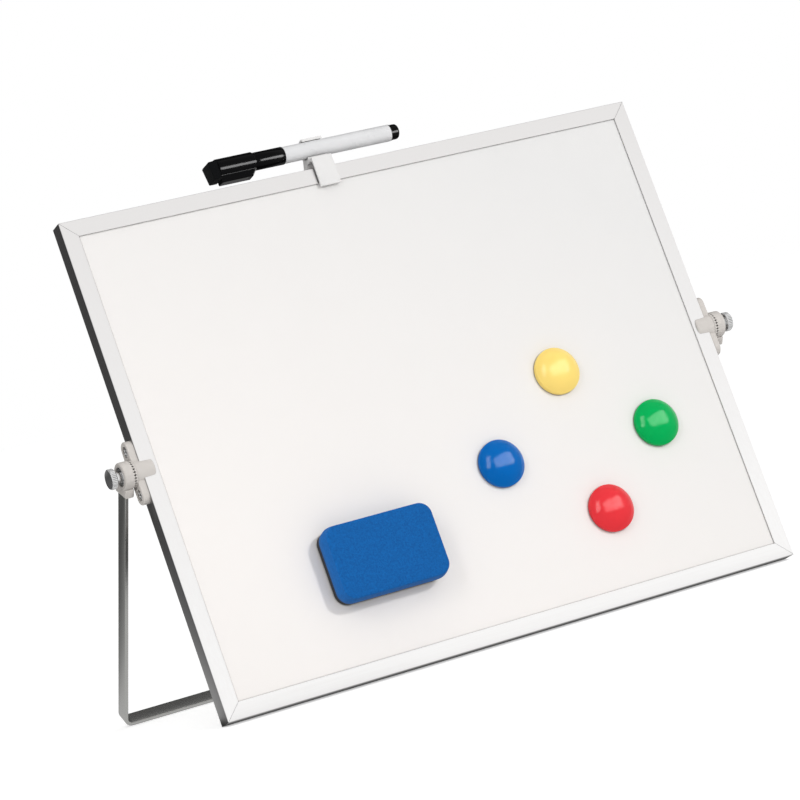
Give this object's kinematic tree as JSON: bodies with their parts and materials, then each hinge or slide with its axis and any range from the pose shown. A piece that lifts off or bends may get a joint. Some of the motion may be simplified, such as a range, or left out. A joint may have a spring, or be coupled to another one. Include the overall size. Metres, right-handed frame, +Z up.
{
  "type": "desk whiteboard easel",
  "caption": "Framed double-sided magnetic whiteboard tilting on toothed hinges in a U-shaped strip stand, with clip-on marker, eraser and magnets.",
  "frame": {"origin": "on the table, under the middle of the whole object's box", "axes": "+X along the board to the user's right, +Y away from the user, behind the board, +Z up"},
  "size_m": [0.3904, 0.1324, 0.2903],
  "materials": {
    "frame_aluminium": "satin silver anodised extrusion",
    "key_plastic": "moulded nylon",
    "writing_enamel": "smooth white writing enamel on steel",
    "core_board": "raw fibreboard",
    "hinge_plastic": "satin warm grey moulding",
    "plated_steel": "bright nickel plate",
    "insert_brass": "turned brass",
    "strip_steel": "satin plated strip",
    "clip_plastic": "white moulding",
    "barrel_plastic": "white moulding",
    "black_plastic": "glossy black moulding",
    "ink_fibre": "bonded fibre soaked with ink",
    "black_felt": "pressed felt",
    "ferrite": "sintered ferrite",
    "blue_foam": "closed-cell foam, speckled",
    "magnet_rubber": "flexible magnetic sheet",
    "yellow_plastic": "glossy moulding",
    "green_plastic": "glossy moulding",
    "blue_plastic": "glossy moulding",
    "red_plastic": "glossy moulding"
  },
  "bodies": {
    "stand": {"stand_strip": "strip_steel", "left_knuckle": "hinge_plastic", "right_knuckle": "hinge_plastic"},
    "board": {"top_rail": "frame_aluminium", "bottom_rail": "frame_aluminium", "left_rail": "frame_aluminium", "right_rail": "frame_aluminium", "corner_keys": "key_plastic", "front_writing_sheet": "writing_enamel", "core_panel": "core_board", "rear_writing_sheet": "writing_enamel", "left_pivot_body": "hinge_plastic", "right_pivot_body": "hinge_plastic", "pivot_screws": "plated_steel", "threaded_inserts": "insert_brass"},
    "left_washer_body": {"left_washer": "plated_steel"},
    "right_washer_body": {"right_washer": "plated_steel"},
    "left_thumbscrew_body": {"left_thumbscrew": "plated_steel"},
    "right_thumbscrew_body": {"right_thumbscrew": "plated_steel"},
    "clip": {"marker_clip": "clip_plastic"},
    "marker": {"marker_barrel": "barrel_plastic", "marker_plug": "black_plastic", "ink_reservoir": "ink_fibre", "nib_holder": "black_plastic", "marker_nib": "ink_fibre"},
    "cap": {"marker_cap": "black_plastic", "cap_wiper": "black_felt", "cap_magnet": "ferrite"},
    "eraser": {"eraser_foam": "blue_foam", "eraser_felt": "black_felt", "eraser_magnet": "magnet_rubber"},
    "yellow_magnet": {"yellow_magnet_cap": "yellow_plastic", "yellow_magnet_disc": "ferrite"},
    "green_magnet": {"green_magnet_cap": "green_plastic", "green_magnet_disc": "ferrite"},
    "blue_magnet": {"blue_magnet_cap": "blue_plastic", "blue_magnet_disc": "ferrite"},
    "red_magnet": {"red_magnet_cap": "red_plastic", "red_magnet_disc": "ferrite"}
  },
  "joints": [
    {"name": "board_tilt", "type": "hinge", "parent": "stand", "child": "board", "pos_m": [0, -0.02273, 0.13659], "axis": [1, 0, 0], "range_deg": [-120, 215]},
    {"name": "left_washer_travel", "type": "slide", "parent": "board", "child": "left_washer_body", "axis": [-1, 0, 0], "range_m": [0, 0.0021]},
    {"name": "left_screw_turn", "type": "hinge", "parent": "left_washer_body", "child": "left_thumbscrew_body", "pos_m": [-0.18855, -0.02273, 0.13659], "axis": [-1, 0, 0], "range_deg": [0, 1080]},
    {"name": "right_washer_travel", "type": "slide", "parent": "board", "child": "right_washer_body", "axis": [1, 0, 0], "range_m": [0, 0.0021]},
    {"name": "right_screw_turn", "type": "hinge", "parent": "right_washer_body", "child": "right_thumbscrew_body", "pos_m": [0.18855, -0.02273, 0.13659], "axis": [1, 0, 0], "range_deg": [0, 1080]},
    {"name": "clip_slide", "type": "slide", "parent": "board", "child": "clip", "axis": [1, 0, 0], "range_m": [-0.085, 0.135]},
    {"name": "marker_pull", "type": "slide", "parent": "clip", "child": "marker", "axis": [-1, 0, 0], "range_m": [0, 0.062]},
    {"name": "cap_pull", "type": "slide", "parent": "marker", "child": "cap", "axis": [-1, 0, 0], "range_m": [0, 0.028]},
    {"name": "eraser_lift", "type": "slide", "parent": "board", "child": "eraser", "axis": [0, -0.9686, 0.2487], "range_m": [0, 0.03]},
    {"name": "yellow_magnet_lift", "type": "slide", "parent": "board", "child": "yellow_magnet", "axis": [0, -0.9686, 0.2487], "range_m": [0, 0.02]},
    {"name": "green_magnet_lift", "type": "slide", "parent": "board", "child": "green_magnet", "axis": [0, -0.9686, 0.2487], "range_m": [0, 0.02]},
    {"name": "blue_magnet_lift", "type": "slide", "parent": "board", "child": "blue_magnet", "axis": [0, -0.9686, 0.2487], "range_m": [0, 0.02]},
    {"name": "red_magnet_lift", "type": "slide", "parent": "board", "child": "red_magnet", "axis": [0, -0.9686, 0.2487], "range_m": [0, 0.02]}
  ],
  "couplings": [
    {"joint": "left_screw_turn", "follows": "left_washer_travel", "rad_per_m": 8976},
    {"joint": "right_screw_turn", "follows": "right_washer_travel", "rad_per_m": 8976}
  ]
}
